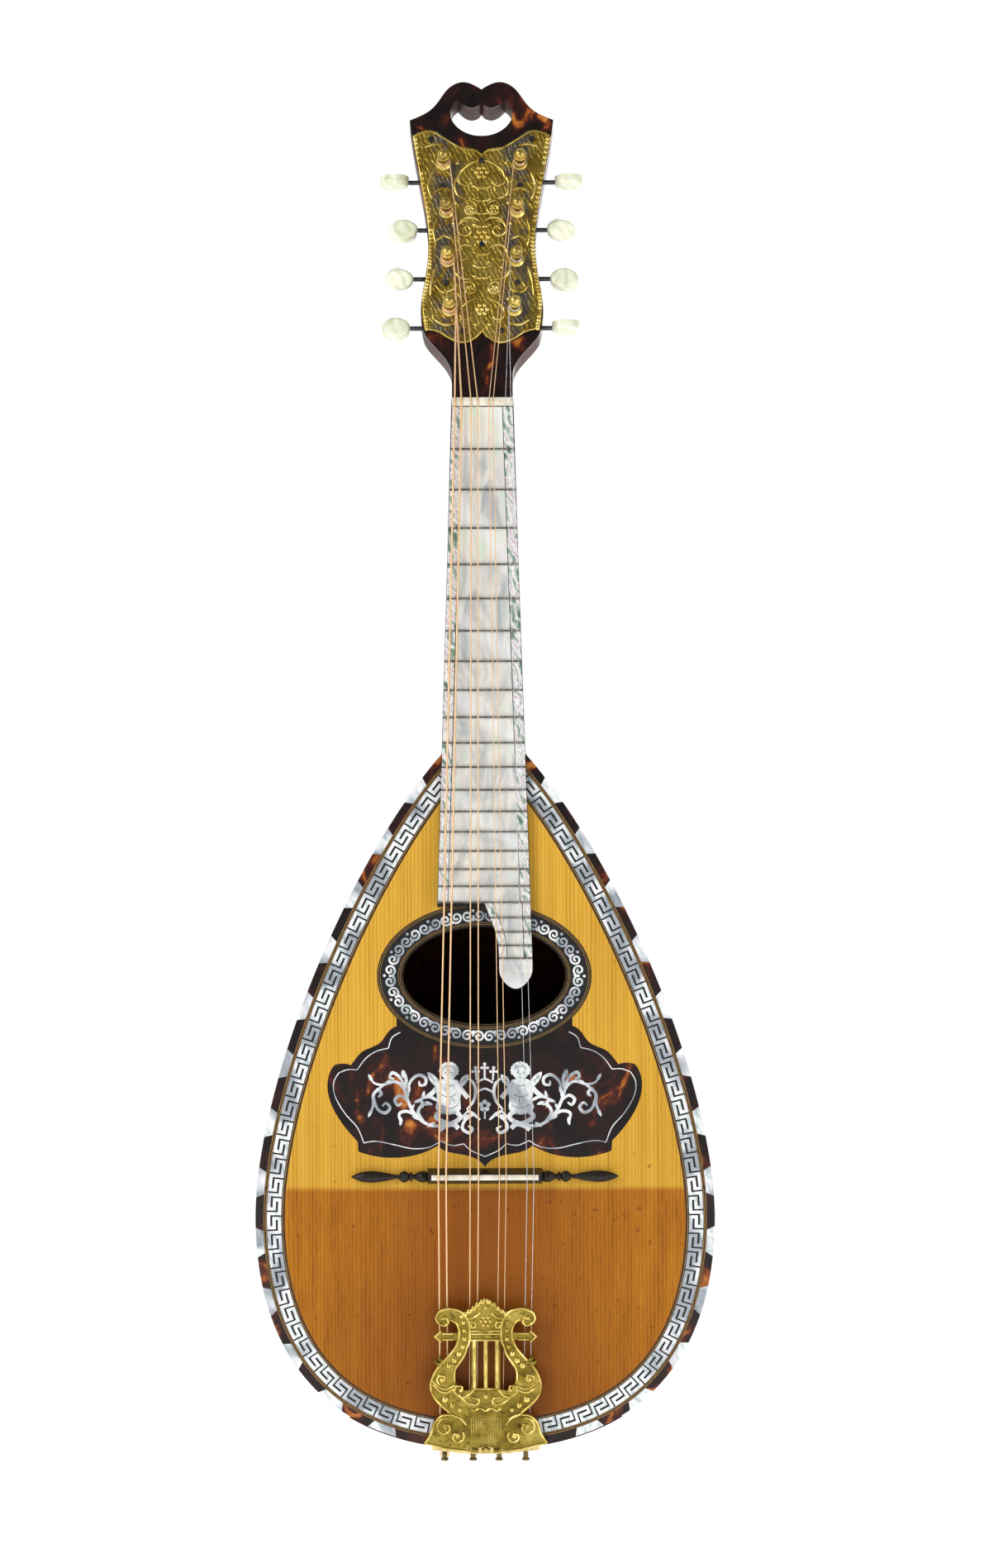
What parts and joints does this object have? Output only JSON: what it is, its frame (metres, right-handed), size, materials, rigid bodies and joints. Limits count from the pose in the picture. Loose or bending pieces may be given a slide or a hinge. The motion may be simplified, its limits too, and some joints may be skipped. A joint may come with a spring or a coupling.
{
  "type": "bowlback mandolin",
  "caption": "Bowlback Neapolitan-style mandolin with a canted soundboard, ribbed bowl, oval sound hole, geared tuners and a hinged lyre tailpiece cover",
  "frame": {"origin": "Tail end of the soundboard's centre line, in the plane of the soundboard's flat part", "axes": "+Z runs from the tail up the neck, -Y points out of the strings towards the listener, +X is to the right of a person who looks at the strings"},
  "size_m": [0.198, 0.1511, 0.6029],
  "materials": {
    "rosewood": "satin",
    "inner_softwood": "matte",
    "spruce": "satin",
    "purfling": "satin",
    "pearl": "gloss",
    "button_pearl": "gloss",
    "abalone": "gloss",
    "tortoiseshell": "gloss",
    "black_mastic": "satin",
    "ebony": "satin",
    "bone": "satin",
    "gilt_brass": "satin",
    "dark_brass": "satin",
    "fret_metal": "satin",
    "steel": "satin",
    "wound_string": "satin",
    "steel_string": "satin"
  },
  "bodies": {
    "instrument": {"bowl_ribs": "rosewood", "tail_clasp": "rosewood", "neck_block": "inner_softwood", "tail_block": "inner_softwood", "rim_lining": "inner_softwood", "soundboard": "spruce", "soundboard_braces": "inner_softwood", "binding_pearl": "pearl", "binding_tortoiseshell": "tortoiseshell", "border_purfling": "purfling", "meander_border": "black_mastic", "rosette_lines": "purfling", "rosette_band": "black_mastic", "pickguard": "tortoiseshell", "bridge": "ebony", "saddle": "bone", "tailpiece_base": "gilt_brass", "hitch_pins": "dark_brass", "cover_hinge_pin": "gilt_brass", "neck": "rosewood", "fingerboard": "ebony", "fingerboard_pearl": "pearl", "fingerboard_edging": "abalone", "frets": "fret_metal", "nut": "bone", "headstock": "rosewood", "head_veneer": "tortoiseshell", "tuner_plate": "gilt_brass", "plate_screws": "steel", "worm_brackets": "gilt_brass", "g_strings": "wound_string", "d_strings": "wound_string", "a_strings": "steel_string", "e_strings": "steel_string"},
    "tailpiece_lid": {"tailpiece_cover": "gilt_brass"},
    "button_left_1": {"tuner_button_left_1": "button_pearl", "worm_shaft_left_1": "steel"},
    "post_left_1": {"string_post_left_1": "gilt_brass"},
    "button_left_2": {"tuner_button_left_2": "button_pearl", "worm_shaft_left_2": "steel"},
    "post_left_2": {"string_post_left_2": "gilt_brass"},
    "button_left_3": {"tuner_button_left_3": "button_pearl", "worm_shaft_left_3": "steel"},
    "post_left_3": {"string_post_left_3": "gilt_brass"},
    "button_left_4": {"tuner_button_left_4": "button_pearl", "worm_shaft_left_4": "steel"},
    "post_left_4": {"string_post_left_4": "gilt_brass"},
    "button_right_1": {"tuner_button_right_1": "button_pearl", "worm_shaft_right_1": "steel"},
    "post_right_1": {"string_post_right_1": "gilt_brass"},
    "button_right_2": {"tuner_button_right_2": "button_pearl", "worm_shaft_right_2": "steel"},
    "post_right_2": {"string_post_right_2": "gilt_brass"},
    "button_right_3": {"tuner_button_right_3": "button_pearl", "worm_shaft_right_3": "steel"},
    "post_right_3": {"string_post_right_3": "gilt_brass"},
    "button_right_4": {"tuner_button_right_4": "button_pearl", "worm_shaft_right_4": "steel"},
    "post_right_4": {"string_post_right_4": "gilt_brass"}
  },
  "joints": [
    {"name": "cover_hinge", "type": "hinge", "parent": "instrument", "child": "tailpiece_lid", "pos_m": [0, 0.0056, 0.0002], "axis": [1, 0, 0], "range_deg": [0, 100]},
    {"name": "button_turn_left_1", "type": "hinge", "parent": "instrument", "child": "button_left_1", "pos_m": [-0.0141, 0.01364, 0.4855], "axis": [1, 0, 0], "continuous": true},
    {"name": "post_turn_left_1", "type": "hinge", "parent": "instrument", "child": "post_left_1", "pos_m": [-0.0141, 0.01048, 0.49302], "axis": [0, -0.9659, 0.2588], "continuous": true},
    {"name": "button_turn_left_2", "type": "hinge", "parent": "instrument", "child": "button_left_2", "pos_m": [-0.015, 0.01954, 0.50752], "axis": [1, 0, 0], "continuous": true},
    {"name": "post_turn_left_2", "type": "hinge", "parent": "instrument", "child": "post_left_2", "pos_m": [-0.015, 0.01638, 0.51504], "axis": [0, -0.9659, 0.2588], "continuous": true},
    {"name": "button_turn_left_3", "type": "hinge", "parent": "instrument", "child": "button_left_3", "pos_m": [-0.0155, 0.02544, 0.52954], "axis": [1, 0, 0], "continuous": true},
    {"name": "post_turn_left_3", "type": "hinge", "parent": "instrument", "child": "post_left_3", "pos_m": [-0.0155, 0.02228, 0.53707], "axis": [0, -0.9659, 0.2588], "continuous": true},
    {"name": "button_turn_left_4", "type": "hinge", "parent": "instrument", "child": "button_left_4", "pos_m": [-0.0167, 0.03124, 0.55118], "axis": [1, 0, 0], "continuous": true},
    {"name": "post_turn_left_4", "type": "hinge", "parent": "instrument", "child": "post_left_4", "pos_m": [-0.0167, 0.02808, 0.5587], "axis": [0, -0.9659, 0.2588], "continuous": true},
    {"name": "button_turn_right_1", "type": "hinge", "parent": "instrument", "child": "button_right_1", "pos_m": [0.0141, 0.01364, 0.4855], "axis": [1, 0, 0], "continuous": true},
    {"name": "post_turn_right_1", "type": "hinge", "parent": "instrument", "child": "post_right_1", "pos_m": [0.0141, 0.01048, 0.49302], "axis": [0, -0.9659, 0.2588], "continuous": true},
    {"name": "button_turn_right_2", "type": "hinge", "parent": "instrument", "child": "button_right_2", "pos_m": [0.015, 0.01954, 0.50752], "axis": [1, 0, 0], "continuous": true},
    {"name": "post_turn_right_2", "type": "hinge", "parent": "instrument", "child": "post_right_2", "pos_m": [0.015, 0.01638, 0.51504], "axis": [0, -0.9659, 0.2588], "continuous": true},
    {"name": "button_turn_right_3", "type": "hinge", "parent": "instrument", "child": "button_right_3", "pos_m": [0.0155, 0.02544, 0.52954], "axis": [1, 0, 0], "continuous": true},
    {"name": "post_turn_right_3", "type": "hinge", "parent": "instrument", "child": "post_right_3", "pos_m": [0.0155, 0.02228, 0.53707], "axis": [0, -0.9659, 0.2588], "continuous": true},
    {"name": "button_turn_right_4", "type": "hinge", "parent": "instrument", "child": "button_right_4", "pos_m": [0.0167, 0.03124, 0.55118], "axis": [1, 0, 0], "continuous": true},
    {"name": "post_turn_right_4", "type": "hinge", "parent": "instrument", "child": "post_right_4", "pos_m": [0.0167, 0.02808, 0.5587], "axis": [0, -0.9659, 0.2588], "continuous": true}
  ],
  "couplings": [
    {"joint": "post_turn_left_1", "follows": "button_turn_left_1", "ratio": -0.071429},
    {"joint": "post_turn_left_2", "follows": "button_turn_left_2", "ratio": -0.071429},
    {"joint": "post_turn_left_3", "follows": "button_turn_left_3", "ratio": -0.071429},
    {"joint": "post_turn_left_4", "follows": "button_turn_left_4", "ratio": -0.071429},
    {"joint": "post_turn_right_1", "follows": "button_turn_right_1", "ratio": -0.071429},
    {"joint": "post_turn_right_2", "follows": "button_turn_right_2", "ratio": -0.071429},
    {"joint": "post_turn_right_3", "follows": "button_turn_right_3", "ratio": -0.071429},
    {"joint": "post_turn_right_4", "follows": "button_turn_right_4", "ratio": -0.071429}
  ]
}
